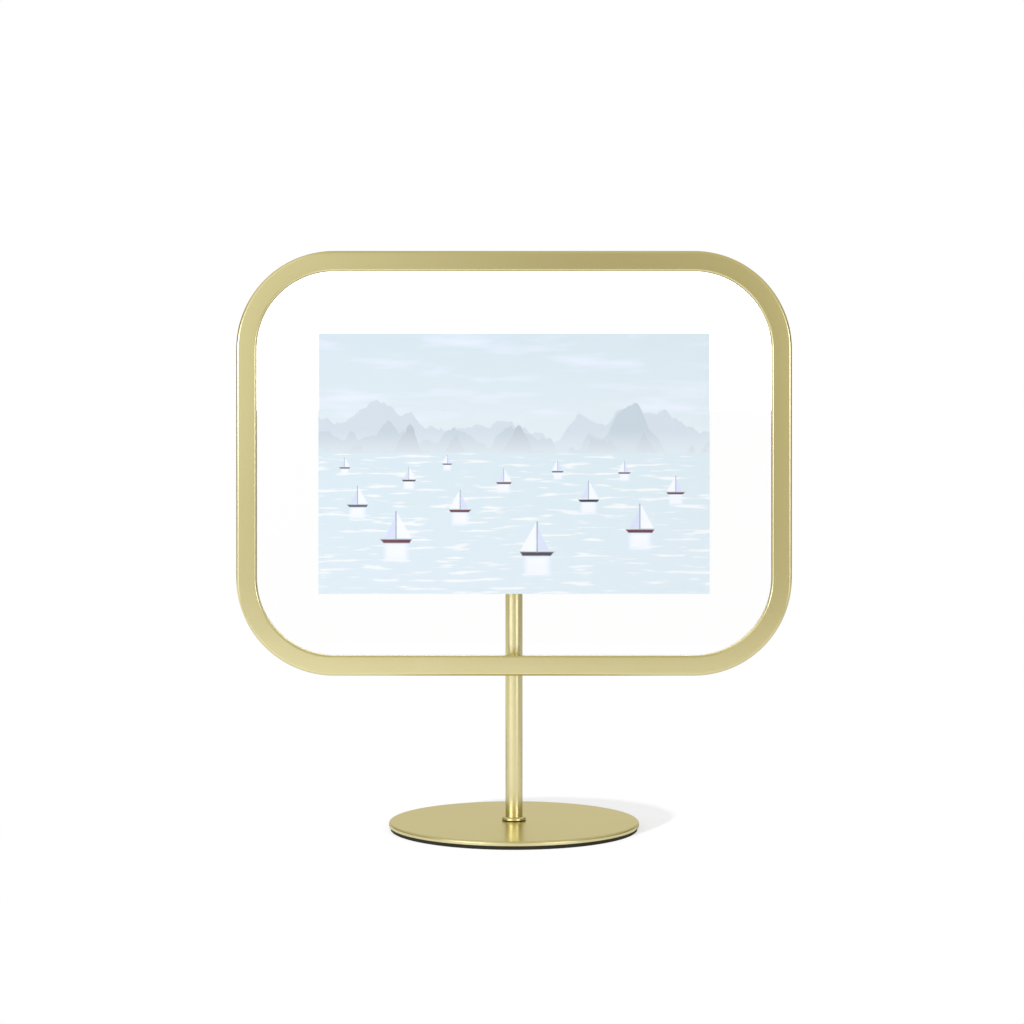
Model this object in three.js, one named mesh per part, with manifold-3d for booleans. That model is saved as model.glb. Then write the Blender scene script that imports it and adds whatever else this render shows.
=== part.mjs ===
// A free-standing picture frame. A rounded metal ring holds a print between two panes of glass and
// turns on a friction pivot at the top of a slim post, which stands on a thin round base.
// Millimetres, +Z up, the viewer on the -Y side, the origin at the centre of the base on the table.
import * as THREE from "three";
import { mergeVertices } from "three/addons/utils/BufferGeometryUtils.js";
import Module from "manifold-3d";

const wasm = await Module();
wasm.setup();

// Base
const BASE_DIAMETER = 99.2;
const BASE_THICKNESS = 1.7;
const BASE_RIM_RADIUS = 0.9; // upper edge of the rim
const BASE_LOWER_ARRIS = 0.3;
const PAD_THICKNESS = 1.4;
const PAD_INSET = 0.6; // the pad stops short of the rim by this much
const BASE_SCREW_DIAMETER = 4;
const BASE_SCREW_HEAD_DIAMETER = 10;
const BASE_SCREW_RECESS = 0.4; // from the table up to the screw's low head
const BASE_SCREW_ENGAGEMENT = 11; // thread inside the post

// Post
const POST_DIAMETER = 6.8;
const POST_FOOT_CHAMFER = 0.3;
const COLLAR_HEIGHT = 1.5;
const COLLAR_LAND = 0.55; // flat top of the collar before its half-round side
const PIVOT_HEIGHT = 144.5; // from the table to the centre of the frame

// Head of the post
const BARREL_DIAMETER = 14;
const BARREL_EDGE_RADIUS = 0.8;
const BARREL_STEP = 0.5; // each end of the barrel stands this far beyond the neck
const NECK_WALL = 2; // metal round the socket that takes the post
const SOCKET_LENGTH = 14;
const SOCKET_ROOF = 2; // metal between the socket and the cross bore
const SET_SCREW_DIAMETER = 3;

// Pivot
const PIVOT_SCREW_DIAMETER = 4;
const PIVOT_HEAD_DIAMETER = 8;
const PIVOT_HEAD_HEIGHT = 2.2;
const WASHER_DIAMETER = 12.4;
const WASHER_THICKNESS = 0.8;
const WAVE_DIAMETER = 9;
const WAVE_THICKNESS = 0.3;
const WAVE_HEIGHT = 0.4; // trough to crest
const WAVE_CRESTS = 3;
const HUB_DIAMETER = 32;
const HUB_PLATE = 1.8;
const HUB_BOSS_DIAMETER = 12;
const HUB_BOSS_LENGTH = 2.5;
const HUB_FLOOR = 0.8; // metal left in front of the blind hole
const HUB_EDGE_RADIUS = 0.5;

// Picture frame
const FRAME_WIDTH = 215.6;
const FRAME_HEIGHT = 164.8;
const CORNER_RADIUS = 38;
const FACE_WIDTH = 7.9; // each bar as seen from the front
const WALL_THICKNESS = 4; // beside the panes
const LIP_THICKNESS = 2.2; // in front of the panes
const ARRIS_RADIUS = 1;
const FRONT_GLASS_THICKNESS = 2;
const REAR_GLASS_THICKNESS = 3;
const PRINT_WIDTH = 152.4;
const PRINT_HEIGHT = 101.6;
const PRINT_THICKNESS = 0.25;

// Turn buttons on the back of the ring
const BUTTON_SPACING = 100; // between the two on one bar
const BUTTON_WIDTH = 3.6;
const BUTTON_REACH = 4.3; // from the screw to the tip
const BUTTON_THICKNESS = 0.8;
const BUTTON_SCREW_DIAMETER = 2;
const BUTTON_HEAD_DIAMETER = 3.4;
const BUTTON_HEAD_HEIGHT = 1.1;
const BUTTON_SCREW_ENGAGEMENT = 3.5;

// Clearances
const SEAT_GAP = 0.1; // between faces that bear on each other
const FIT_GAP = 0.1; // radial, round pins, posts and threads
const PANE_GAP = 0.3; // round the edge of each pane
const TIP_GAP = 0.5; // beyond the end of a screw in a blind hole
const CUT_MARGIN = 1; // a cutting tool runs past the face by this much

// Facets
const CORNER_STEPS = 8; // of each half of a round corner
const ARRIS_STEPS = 3;
const LARGE_ROUND_STEPS = 64;
const ROUND_STEPS = 28;
const SMALL_ROUND_STEPS = 16;
const PROFILE_STEPS = 2; // of each half of an arc in a turned section

// Heights above the table
const discBottom = PAD_THICKNESS + SEAT_GAP;
const discTop = discBottom + BASE_THICKNESS;
const postBottom = discTop + SEAT_GAP;
const pivotBoreRadius = PIVOT_SCREW_DIAMETER / 2 + FIT_GAP;
const socketTop = PIVOT_HEIGHT - pivotBoreRadius - SOCKET_ROOF;
const socketBottom = socketTop - SOCKET_LENGTH;
const postTop = socketTop - SEAT_GAP;

// Radii of round pieces that fit one another
const baseRadius = BASE_DIAMETER / 2;
const postRadius = POST_DIAMETER / 2;
const baseHoleRadius = BASE_SCREW_DIAMETER / 2 + FIT_GAP;
const padHoleRadius = BASE_SCREW_HEAD_DIAMETER / 2 + FIT_GAP;
const socketRadius = postRadius + FIT_GAP;
const neckRadius = socketRadius + NECK_WALL;
const washerBoreRadius = pivotBoreRadius + FIT_GAP;

// Places along the pivot, from the axis of the post towards the viewer
const barrelHalf = neckRadius + BARREL_STEP;
const frontWasher = barrelHalf + SEAT_GAP;
const hubRear = frontWasher + WASHER_THICKNESS + SEAT_GAP;
const hubFront = hubRear + HUB_BOSS_LENGTH + HUB_PLATE;
const rearPane = hubFront + SEAT_GAP;
const printRear = rearPane + REAR_GLASS_THICKNESS + SEAT_GAP;
const frontPane = printRear + PRINT_THICKNESS + SEAT_GAP;
const lipRear = frontPane + FRONT_GLASS_THICKNESS + SEAT_GAP;
const ringFront = lipRear + LIP_THICKNESS;
const ringRear = rearPane - SEAT_GAP;
const ringDepth = ringFront - ringRear;
const pivotTip = hubFront - HUB_FLOOR - TIP_GAP;

// Places along the pivot behind the post
const rearWasher = -barrelHalf - SEAT_GAP - WASHER_THICKNESS;
const waveMiddle = rearWasher - SEAT_GAP - (WAVE_HEIGHT + WAVE_THICKNESS) / 2;
const pivotHeadFront = waveMiddle - (WAVE_HEIGHT + WAVE_THICKNESS) / 2 - SEAT_GAP;

// Turn buttons: screws in the middle of the ring's wall, plates on its back
const buttonX = BUTTON_SPACING / 2;
const buttonY = FRAME_HEIGHT / 2 - WALL_THICKNESS / 2;
const buttonFront = ringRear - SEAT_GAP;
const buttonRear = buttonFront - BUTTON_THICKNESS;
const buttonHead = buttonRear - SEAT_GAP;
const buttonTip = ringRear + BUTTON_SCREW_ENGAGEMENT;
const buttonHoleRadius = BUTTON_SCREW_DIAMETER / 2 + FIT_GAP;
const buttonCorners = [
  { name: "top_left", x: -buttonX, y: buttonY, turn: Math.PI },
  { name: "top_right", x: buttonX, y: buttonY, turn: Math.PI },
  { name: "bottom_left", x: -buttonX, y: -buttonY, turn: 0 },
  { name: "bottom_right", x: buttonX, y: -buttonY, turn: 0 },
];

const champagneGold = new THREE.MeshStandardMaterial({ color: 0xc7bd8c, roughness: 0.35, metalness: 1 });
const plainSteel = new THREE.MeshStandardMaterial({ color: 0xb4b6b8, roughness: 0.35, metalness: 1 });
const clearGlass = new THREE.MeshStandardMaterial({ color: 0xf2f7f5, roughness: 0.05, metalness: 0 });
const printPaper = new THREE.MeshStandardMaterial({ color: 0xe3eef4, roughness: 0.6, metalness: 0 });
const blackRubber = new THREE.MeshStandardMaterial({ color: 0x2a2621, roughness: 0.9, metalness: 0 });
const whiteNylon = new THREE.MeshStandardMaterial({ color: 0xeae8e2, roughness: 0.5, metalness: 0 });

// A closed geometry as a solid that can be joined and cut.
function solidFrom(geometry) {
  const bare = geometry.clone();
  bare.deleteAttribute("normal");
  bare.deleteAttribute("uv");
  const merged = mergeVertices(bare);
  const mesh = new wasm.Mesh({
    numProp: 3,
    vertProperties: merged.attributes.position.array,
    triVerts: new Uint32Array(merged.index.array),
  });
  return new wasm.Manifold(mesh);
}

function geometryFrom(solid) {
  const mesh = solid.getMesh();
  const geometry = new THREE.BufferGeometry();
  geometry.setAttribute("position", new THREE.BufferAttribute(mesh.vertProperties, 3));
  geometry.setIndex(new THREE.BufferAttribute(mesh.triVerts, 1));
  geometry.computeVertexNormals();
  return geometry;
}

// A half section of radius and height, spun about the Z axis.
function turned(section, steps) {
  const spun = new THREE.LatheGeometry(section.getPoints(PROFILE_STEPS), steps);
  return spun.rotateX(Math.PI / 2);
}

// A plain round bar along Z.
function roundBar(radius, bottom, top, steps) {
  const section = new THREE.Path();
  section.moveTo(0, bottom);
  section.lineTo(radius, bottom);
  section.lineTo(radius, top);
  section.lineTo(0, top);
  return turned(section, steps);
}

// A flat ring round the Z axis.
function flatRing(innerRadius, outerRadius, bottom, top, steps) {
  const section = new THREE.Path();
  section.moveTo(innerRadius, bottom);
  section.lineTo(outerRadius, bottom);
  section.lineTo(outerRadius, top);
  section.lineTo(innerRadius, top);
  section.lineTo(innerRadius, bottom);
  return turned(section, steps);
}

// A screw along Z: a domed head that ends at seat, and a shank from there to tip.
function domedScrew(headRadius, headHeight, shankRadius, seat, tip, steps) {
  const dome = headHeight / 2;
  const section = new THREE.Path();
  section.moveTo(0, seat - headHeight);
  section.lineTo(headRadius - dome, seat - headHeight);
  section.absarc(headRadius - dome, seat - dome, dome, -Math.PI / 2, 0);
  section.lineTo(headRadius, seat);
  section.lineTo(shankRadius, seat);
  section.lineTo(shankRadius, tip);
  section.lineTo(0, tip);
  return turned(section, steps);
}

function roundedRectangle(width, height, radius) {
  const x = width / 2 - radius;
  const y = height / 2 - radius;
  const shape = new THREE.Shape();
  shape.absarc(x, y, radius, 0, Math.PI / 2);
  shape.absarc(-x, y, radius, Math.PI / 2, Math.PI);
  shape.absarc(-x, -y, radius, Math.PI, 1.5 * Math.PI);
  shape.absarc(x, -y, radius, 1.5 * Math.PI, 2 * Math.PI);
  return shape;
}

// The frame's outline, drawn in on every side by the same amount.
function frameOutline(inset) {
  return roundedRectangle(FRAME_WIDTH - 2 * inset, FRAME_HEIGHT - 2 * inset, CORNER_RADIUS - inset);
}

// A flat sheet of a given outline between two places along the pivot.
function sheet(outline, rear, front) {
  const options = { depth: front - rear, bevelEnabled: false, curveSegments: CORNER_STEPS };
  return new THREE.ExtrudeGeometry(outline, options).translate(0, 0, rear);
}

function basePad() {
  return flatRing(padHoleRadius, baseRadius - PAD_INSET, 0, PAD_THICKNESS, LARGE_ROUND_STEPS);
}

// Thin plate with a rounded upper rim and a screw hole in the middle.
function baseDisc() {
  const section = new THREE.Path();
  section.moveTo(baseHoleRadius, discBottom);
  section.lineTo(baseRadius - BASE_LOWER_ARRIS, discBottom);
  section.lineTo(baseRadius, discBottom + BASE_LOWER_ARRIS);
  section.lineTo(baseRadius, discTop - BASE_RIM_RADIUS);
  section.absarc(baseRadius - BASE_RIM_RADIUS, discTop - BASE_RIM_RADIUS, BASE_RIM_RADIUS, 0, Math.PI / 2);
  section.lineTo(baseHoleRadius, discTop);
  section.lineTo(baseHoleRadius, discBottom);
  return turned(section, LARGE_ROUND_STEPS);
}

// Low-head screw from below, through the disc and into the post.
function baseScrew() {
  const seat = discBottom - SEAT_GAP;
  const headHeight = seat - BASE_SCREW_RECESS;
  const tip = postBottom + BASE_SCREW_ENGAGEMENT;
  const headRadius = BASE_SCREW_HEAD_DIAMETER / 2;
  return domedScrew(headRadius, headHeight, BASE_SCREW_DIAMETER / 2, seat, tip, ROUND_STEPS);
}

// Solid bar with chamfered ends, tapped at the foot for the base screw.
function postRod() {
  const holeTop = postBottom + BASE_SCREW_ENGAGEMENT + TIP_GAP;
  const section = new THREE.Path();
  section.moveTo(baseHoleRadius, postBottom);
  section.lineTo(postRadius - POST_FOOT_CHAMFER, postBottom);
  section.lineTo(postRadius, postBottom + POST_FOOT_CHAMFER);
  section.lineTo(postRadius, postTop - POST_FOOT_CHAMFER);
  section.lineTo(postRadius - POST_FOOT_CHAMFER, postTop);
  section.lineTo(0, postTop);
  section.lineTo(0, holeTop);
  section.lineTo(baseHoleRadius, holeTop);
  section.lineTo(baseHoleRadius, postBottom);
  return turned(section, ROUND_STEPS);
}

// Trim ring round the foot of the post, with a half-round outer side.
function postCollar() {
  const bottom = discTop + SEAT_GAP;
  const half = COLLAR_HEIGHT / 2;
  const bore = postRadius + FIT_GAP;
  const section = new THREE.Path();
  section.moveTo(bore, bottom);
  section.lineTo(bore + COLLAR_LAND, bottom);
  section.absarc(bore + COLLAR_LAND, bottom + half, half, -Math.PI / 2, Math.PI / 2);
  section.lineTo(bore, bottom + COLLAR_HEIGHT);
  section.lineTo(bore, bottom);
  return turned(section, ROUND_STEPS);
}

// Block on top of the post: a barrel along the pivot, and a neck with a socket for the post.
function postHead() {
  const radius = BARREL_DIAMETER / 2;
  const edge = BARREL_EDGE_RADIUS;
  const section = new THREE.Path();
  section.moveTo(0, -barrelHalf);
  section.lineTo(radius - edge, -barrelHalf);
  section.absarc(radius - edge, edge - barrelHalf, edge, -Math.PI / 2, 0);
  section.absarc(radius - edge, barrelHalf - edge, edge, 0, Math.PI / 2);
  section.lineTo(0, barrelHalf);
  const barrel = turned(section, ROUND_STEPS).rotateX(Math.PI / 2).translate(0, 0, PIVOT_HEIGHT);
  const reach = barrelHalf + CUT_MARGIN;
  const bore = roundBar(pivotBoreRadius, -reach, reach, ROUND_STEPS);
  bore.rotateX(Math.PI / 2).translate(0, 0, PIVOT_HEIGHT);
  const neck = roundBar(neckRadius, socketBottom, PIVOT_HEIGHT, ROUND_STEPS);
  const socket = roundBar(socketRadius, socketBottom - CUT_MARGIN, socketTop, ROUND_STEPS);
  const tapped = roundBar(SET_SCREW_DIAMETER / 2 + FIT_GAP, 0, neckRadius + CUT_MARGIN, SMALL_ROUND_STEPS);
  tapped.rotateX(-Math.PI / 2).translate(0, 0, socketTop - SOCKET_LENGTH / 2);
  const solid = solidFrom(barrel).add(solidFrom(neck)).subtract(solidFrom(socket));
  return geometryFrom(solid.subtract(solidFrom(bore)).subtract(solidFrom(tapped)));
}

// Grub screw from behind, flush with the neck, its tip on the post.
function headSetScrew() {
  const tip = postRadius + SEAT_GAP;
  const screw = roundBar(SET_SCREW_DIAMETER / 2, tip, neckRadius - SEAT_GAP, SMALL_ROUND_STEPS);
  return screw.rotateX(-Math.PI / 2).translate(0, 0, socketTop - SOCKET_LENGTH / 2);
}

function frictionWasher(rear) {
  return flatRing(washerBoreRadius, WASHER_DIAMETER / 2, rear, rear + WASHER_THICKNESS, ROUND_STEPS);
}

// Spring washer: a flat ring whose height follows a cosine round the axis.
function waveWasher() {
  const rear = waveMiddle - WAVE_THICKNESS / 2;
  const front = waveMiddle + WAVE_THICKNESS / 2;
  const ring = flatRing(washerBoreRadius, WAVE_DIAMETER / 2, rear, front, LARGE_ROUND_STEPS);
  const place = ring.attributes.position;
  for (let i = 0; i < place.count; i += 1) {
    const angle = Math.atan2(place.getY(i), place.getX(i));
    place.setZ(i, place.getZ(i) + (WAVE_HEIGHT / 2) * Math.cos(WAVE_CRESTS * angle));
  }
  return ring;
}

function pivotScrew() {
  const headRadius = PIVOT_HEAD_DIAMETER / 2;
  const shankRadius = PIVOT_SCREW_DIAMETER / 2;
  return domedScrew(headRadius, PIVOT_HEAD_HEIGHT, shankRadius, pivotHeadFront, pivotTip, ROUND_STEPS);
}

// Flanged hub on the back of the rear pane, with a blind hole for the pivot screw.
function pivotHub() {
  const plateRear = hubFront - HUB_PLATE;
  const edge = HUB_EDGE_RADIUS;
  const section = new THREE.Path();
  section.moveTo(pivotBoreRadius, hubRear);
  section.lineTo(HUB_BOSS_DIAMETER / 2 - edge, hubRear);
  section.absarc(HUB_BOSS_DIAMETER / 2 - edge, hubRear + edge, edge, -Math.PI / 2, 0);
  section.lineTo(HUB_BOSS_DIAMETER / 2, plateRear);
  section.lineTo(HUB_DIAMETER / 2 - edge, plateRear);
  section.absarc(HUB_DIAMETER / 2 - edge, plateRear + edge, edge, -Math.PI / 2, 0);
  section.lineTo(HUB_DIAMETER / 2, hubFront);
  section.lineTo(0, hubFront);
  section.lineTo(0, hubFront - HUB_FLOOR);
  section.lineTo(pivotBoreRadius, hubFront - HUB_FLOOR);
  section.lineTo(pivotBoreRadius, hubRear);
  return turned(section, ROUND_STEPS);
}

// Ring with rounded arrises, rebated from behind for the panes, with blind holes for the button screws.
function frameRing() {
  const outline = frameOutline(0);
  outline.holes.push(frameOutline(FACE_WIDTH));
  const bar = new THREE.ExtrudeGeometry(outline, {
    depth: ringDepth - 2 * ARRIS_RADIUS,
    bevelThickness: ARRIS_RADIUS,
    bevelSize: ARRIS_RADIUS,
    bevelOffset: -ARRIS_RADIUS,
    bevelSegments: ARRIS_STEPS,
    curveSegments: CORNER_STEPS,
  });
  bar.translate(0, 0, ringRear + ARRIS_RADIUS);
  const rebate = sheet(frameOutline(WALL_THICKNESS), ringRear - CUT_MARGIN, lipRear);
  let solid = solidFrom(bar).subtract(solidFrom(rebate));
  for (const corner of buttonCorners) {
    const hole = roundBar(buttonHoleRadius, ringRear - CUT_MARGIN, buttonTip + TIP_GAP, SMALL_ROUND_STEPS);
    solid = solid.subtract(solidFrom(hole.translate(corner.x, corner.y, 0)));
  }
  return geometryFrom(solid);
}

function glassPane(rear, thickness) {
  return sheet(frameOutline(WALL_THICKNESS + PANE_GAP), rear, rear + thickness);
}

function printSheet() {
  const paper = new THREE.BoxGeometry(PRINT_WIDTH, PRINT_HEIGHT, PRINT_THICKNESS);
  return paper.translate(0, 0, printRear + PRINT_THICKNESS / 2);
}

// Small plate with round ends that turns on a screw near one end. Its tip points along +Y.
function turnButton() {
  const radius = BUTTON_WIDTH / 2;
  const outline = new THREE.Shape();
  outline.absarc(0, BUTTON_REACH - radius, radius, 0, Math.PI);
  outline.absarc(0, 0, radius, Math.PI, 2 * Math.PI);
  const hole = new THREE.Path();
  hole.absarc(0, 0, buttonHoleRadius, 0, 2 * Math.PI);
  outline.holes.push(hole);
  return sheet(outline, buttonRear, buttonFront);
}

function buttonScrew() {
  const headRadius = BUTTON_HEAD_DIAMETER / 2;
  const shankRadius = BUTTON_SCREW_DIAMETER / 2;
  return domedScrew(headRadius, BUTTON_HEAD_HEIGHT, shankRadius, buttonHead, buttonTip, SMALL_ROUND_STEPS);
}

function piece(name, geometry, material) {
  const mesh = new THREE.Mesh(geometry, material);
  mesh.name = name;
  return mesh;
}

const stand = new THREE.Group();
stand.add(
  piece("base_pad", basePad(), blackRubber),
  piece("base_disc", baseDisc(), champagneGold),
  piece("base_screw", baseScrew(), plainSteel),
  piece("post_rod", postRod(), champagneGold),
  piece("post_collar", postCollar(), champagneGold),
  piece("post_head", postHead(), champagneGold),
  piece("head_set_screw", headSetScrew(), plainSteel),
);

// Local Z runs along the pivot towards the viewer, local Y is up.
const pictureFrame = new THREE.Group();
pictureFrame.position.z = PIVOT_HEIGHT;
pictureFrame.rotation.x = Math.PI / 2;
pictureFrame.add(
  piece("friction_washer_front", frictionWasher(frontWasher), whiteNylon),
  piece("friction_washer_rear", frictionWasher(rearWasher), whiteNylon),
  piece("wave_washer", waveWasher(), plainSteel),
  piece("pivot_screw", pivotScrew(), plainSteel),
  piece("pivot_hub", pivotHub(), plainSteel),
  piece("frame_ring", frameRing(), champagneGold),
  piece("rear_glass", glassPane(rearPane, REAR_GLASS_THICKNESS), clearGlass),
  piece("print", printSheet(), printPaper),
  piece("front_glass", glassPane(frontPane, FRONT_GLASS_THICKNESS), clearGlass),
);

for (const corner of buttonCorners) {
  const button = piece(`turn_button_${corner.name}`, turnButton(), champagneGold);
  button.position.set(corner.x, corner.y, 0);
  button.rotation.z = corner.turn;
  const screw = piece(`turn_button_screw_${corner.name}`, buttonScrew(), plainSteel);
  screw.position.set(corner.x, corner.y, 0);
  pictureFrame.add(button, screw);
}

const frameOnPost = new THREE.Group();
frameOnPost.add(stand, pictureFrame);

export default frameOnPost;
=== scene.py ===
import math

import bmesh
import bpy
from mathutils import Matrix


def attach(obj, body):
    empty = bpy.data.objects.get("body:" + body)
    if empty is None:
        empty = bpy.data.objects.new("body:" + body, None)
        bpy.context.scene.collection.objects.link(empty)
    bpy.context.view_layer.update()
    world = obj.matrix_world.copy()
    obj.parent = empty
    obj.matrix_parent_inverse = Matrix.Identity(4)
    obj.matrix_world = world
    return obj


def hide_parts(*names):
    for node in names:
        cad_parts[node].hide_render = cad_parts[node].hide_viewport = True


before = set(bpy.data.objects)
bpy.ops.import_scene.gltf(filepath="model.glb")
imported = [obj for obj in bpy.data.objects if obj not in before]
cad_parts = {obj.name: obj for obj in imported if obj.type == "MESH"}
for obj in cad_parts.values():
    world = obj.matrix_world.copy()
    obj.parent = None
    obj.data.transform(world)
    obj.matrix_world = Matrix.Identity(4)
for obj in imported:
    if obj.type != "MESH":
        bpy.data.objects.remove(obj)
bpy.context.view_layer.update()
scene = bpy.context.scene
scene.view_settings.view_transform = "Standard"
mm = 0.001
pivotHeight = 144.5
setScrewHeight = 133.4
near = 0.01  # in mm, how close to a place a point still counts as there
past = 1.0  # in mm, how far a cutting shape runs past the surface
crispAngle = math.radians(40)
# local z runs to the viewer along the pivot, and to the rear along the set screw
toPivot = Matrix.Translation((0, 0, pivotHeight * mm)) @ Matrix.Rotation(math.pi / 2, 4, "X")
toSetScrew = Matrix.Translation((0, 0, setScrewHeight * mm)) @ Matrix.Rotation(-math.pi / 2, 4, "X")


def colour(code):
    parts = [int(code[i:i + 2], 16) / 255 for i in (1, 3, 5)]
    return tuple(c / 12.92 if c <= 0.04045 else ((c + 0.055) / 1.055) ** 2.4 for c in parts) + (1.0,)


def addNode(tree, kind, sockets=None, **settings):
    node = tree.nodes.new(kind)
    for name, value in settings.items():
        setattr(node, name, value)
    for key, value in (sockets or {}).items():
        if isinstance(value, bpy.types.NodeSocket):
            tree.links.new(value, node.inputs[key])
        else:
            node.inputs[key].default_value = value
    return node


def startMaterial(name):
    material = bpy.data.materials.new(name)
    material.use_nodes = True
    material.node_tree.nodes.clear()
    return material, material.node_tree


# camera: level, straight on, fitted to the base's ellipse and the frame's outline
cameraSettings = {"place": (-0.0008, -0.7524, 0.1256), "lens": 66.55, "sensor": 36.0}

cameraData = bpy.data.cameras.new("photoCamera")
cameraData.lens = cameraSettings["lens"]
cameraData.sensor_width = cameraSettings["sensor"]
camera = bpy.data.objects.new("photoCamera", cameraData)
camera.location = cameraSettings["place"]
camera.rotation_euler = (math.pi / 2, 0, 0)
scene.collection.objects.link(camera)
scene.camera = camera
print("camera placed")

# light that reaches the post crosses four faces of glass each way, so it is followed further than usual
scene.cycles.max_bounces = 32
scene.cycles.glossy_bounces = 8
scene.cycles.transmission_bounces = 24


def plainSight(tree):
    # which light has been mirrored, and what is seen straight or through a pane with no mirror between
    path = addNode(tree, "ShaderNodeLightPath")
    glanced = addNode(tree, "ShaderNodeMath", {
        0: path.outputs["Glossy Depth"], 1: 0.5}, operation="GREATER_THAN").outputs[0]
    through = addNode(tree, "ShaderNodeMath", {
        0: path.outputs["Is Transmission Ray"],
        1: glanced}, operation="SUBTRACT", use_clamp=True).outputs[0]
    seen = addNode(tree, "ShaderNodeMath", {
        0: path.outputs["Is Camera Ray"], 1: through}, operation="MAXIMUM").outputs[0]
    return glanced, seen


# the room: white where it is seen, an even dome for matt surfaces, and for the metal a lit panel left of the
# camera, dim walls at the sides, the table below them and the paper sweep behind
roomSettings = {
    "tones": {
        "dome": "#C0BEB4", "backdrop": "#FFFFFF", "sweep": "#DDDBD0", "panel": "#FAFCFF", "spill": "#EDEBE4",
        "camera": "#AAA692", "leftWall": "#969388", "rightWall": "#8A877D", "leftTable": "#FCFEFF",
        "rightTable": "#DADCE2", "overhead": "#D0CEC2", "upperLeft": "#FFFFFF",
    },
    # shares that grow from 0 to 1 along an axis of the room: x to the right, y away from the camera, z up
    "shares": {
        "raised": ("Z", -0.13, 0.04), "low": ("Z", 0.02, -0.12), "above": ("Z", 0.2, 0.6),
        "leftward": ("X", 0.1, -0.2), "rightward": ("X", 0.08, 0.22), "side": ("X", -0.5, 0.5),
        "farLeft": ("X", -0.1, -0.4), "forward": ("Y", 0.0, -0.3), "beside": ("Y", -0.75, -0.45),
        "behind": ("Y", 0.75, 0.97),
    },
    "products": {"lit": ("leftward", "raised"), "spilt": ("rightward", "raised"),
                 "frontLeft": ("farLeft", "forward")},
    # each layer: its name, the share of the second tone in it, and the two tones
    "layers": [
        ("front", "lit", "camera", "panel"), ("front", "spilt", "front", "spill"),
        ("wall", "side", "leftWall", "rightWall"), ("table", "side", "leftTable", "rightTable"),
        ("wall", "low", "wall", "table"), ("around", "beside", "front", "wall"),
        ("around", "behind", "around", "sweep"), ("ceiling", "frontLeft", "overhead", "upperLeft"),
        ("room", "above", "around", "ceiling"), ("mirrored", "glanced", "dome", "room"),
        ("shown", "seen", "mirrored", "backdrop"),
    ],
}


def studioWorld():
    world = bpy.data.worlds.new("whiteStudio")
    scene.world = world
    world.use_nodes = True
    tree = world.node_tree
    tree.nodes.clear()
    bearing = addNode(tree, "ShaderNodeTexCoord").outputs["Generated"]
    axes = addNode(tree, "ShaderNodeSeparateXYZ", {0: bearing})
    share = {}
    for name, (axis, start, end) in roomSettings["shares"].items():
        share[name] = addNode(tree, "ShaderNodeMapRange", {
            "Value": axes.outputs[axis], "From Min": start,
            "From Max": end}, interpolation_type="SMOOTHSTEP").outputs[0]
    for name, (first, second) in roomSettings["products"].items():
        share[name] = addNode(tree, "ShaderNodeMath", {
            0: share[first], 1: share[second]}, operation="MULTIPLY").outputs[0]
    share["glanced"], share["seen"] = plainSight(tree)
    paint = {name: colour(tone) for name, tone in roomSettings["tones"].items()}
    for name, amount, first, second in roomSettings["layers"]:
        paint[name] = addNode(tree, "ShaderNodeMix", {
            0: share[amount], 6: paint[first], 7: paint[second]}, data_type="RGBA").outputs[2]
    light = addNode(tree, "ShaderNodeBackground", {"Color": paint["shown"], "Strength": 1.0})
    addNode(tree, "ShaderNodeOutputWorld", {"Surface": light.outputs[0]})


# softboxes left and right of the camera: bearings off the camera's side in degrees, edges above the table in
# metres, and glow, which is their brightness, 1 for white
lampSettings = {
    "away": 2.5,
    "colour": (0.92, 1.0, 1.46),
    "softboxes": {
        "leftSoftbox": {"from": -62, "to": -25, "low": 0.32, "high": 0.64, "glow": 3.4},
        "rightSoftbox": {"from": 28, "to": 53, "low": 0.28, "high": 0.64, "glow": 2.8},
        # their tops light matt surfaces, and the metal sees only the room there
        "leftTop": {"from": -62, "to": -25, "low": 0.64, "high": 2.2, "glow": 1.71, "mirrored": False},
        "rightTop": {"from": 28, "to": 53, "low": 0.64, "high": 2.2, "glow": 1.36, "mirrored": False},
        # their dimmer lower ends, past the edge of the table
        "leftSkirt": {"from": -62, "to": -25, "low": -0.35, "high": 0.30, "glow": 0.42},
        "rightSkirt": {"from": 28, "to": 53, "low": -0.35, "high": 0.25, "glow": 0.65},
    },
    # behind the object, for the back of the print
    "backLamp": {"from": 150, "to": 210, "low": 0.3, "high": 2.2, "glow": 2.1, "mirrored": False,
                 "colour": (1.0, 0.99, 0.97)},
    # low, and for the paper alone
    "floorLamp": {"turn": -27.5, "rise": 4.9, "width": 1.3, "share": 0.38},
}


def softbox(name, box):
    # an upright panel that fills the view from the object between its two bearings
    away = lampSettings["away"]
    start, end = math.radians(box["from"]), math.radians(box["to"])
    turn, spread = (start + end) / 2, (end - start) / 2
    lamp = bpy.data.lights.new(name, "AREA")
    lamp.shape = "RECTANGLE"
    lamp.size, lamp.size_y = 2 * away * math.tan(spread), box["high"] - box["low"]
    lamp.energy = box["glow"] * 4 * lamp.size * lamp.size_y  # its brightness is a quarter of this per area
    lamp.color = box.get("colour", lampSettings["colour"])
    holder = bpy.data.objects.new(name, lamp)
    holder.location = (away * math.sin(turn), -away * math.cos(turn), (box["high"] + box["low"]) / 2)
    holder.rotation_euler = (math.pi / 2, 0, turn)
    holder.visible_camera = False
    holder.visible_glossy = box.get("mirrored", True)
    scene.collection.objects.link(holder)
    return holder


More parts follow.
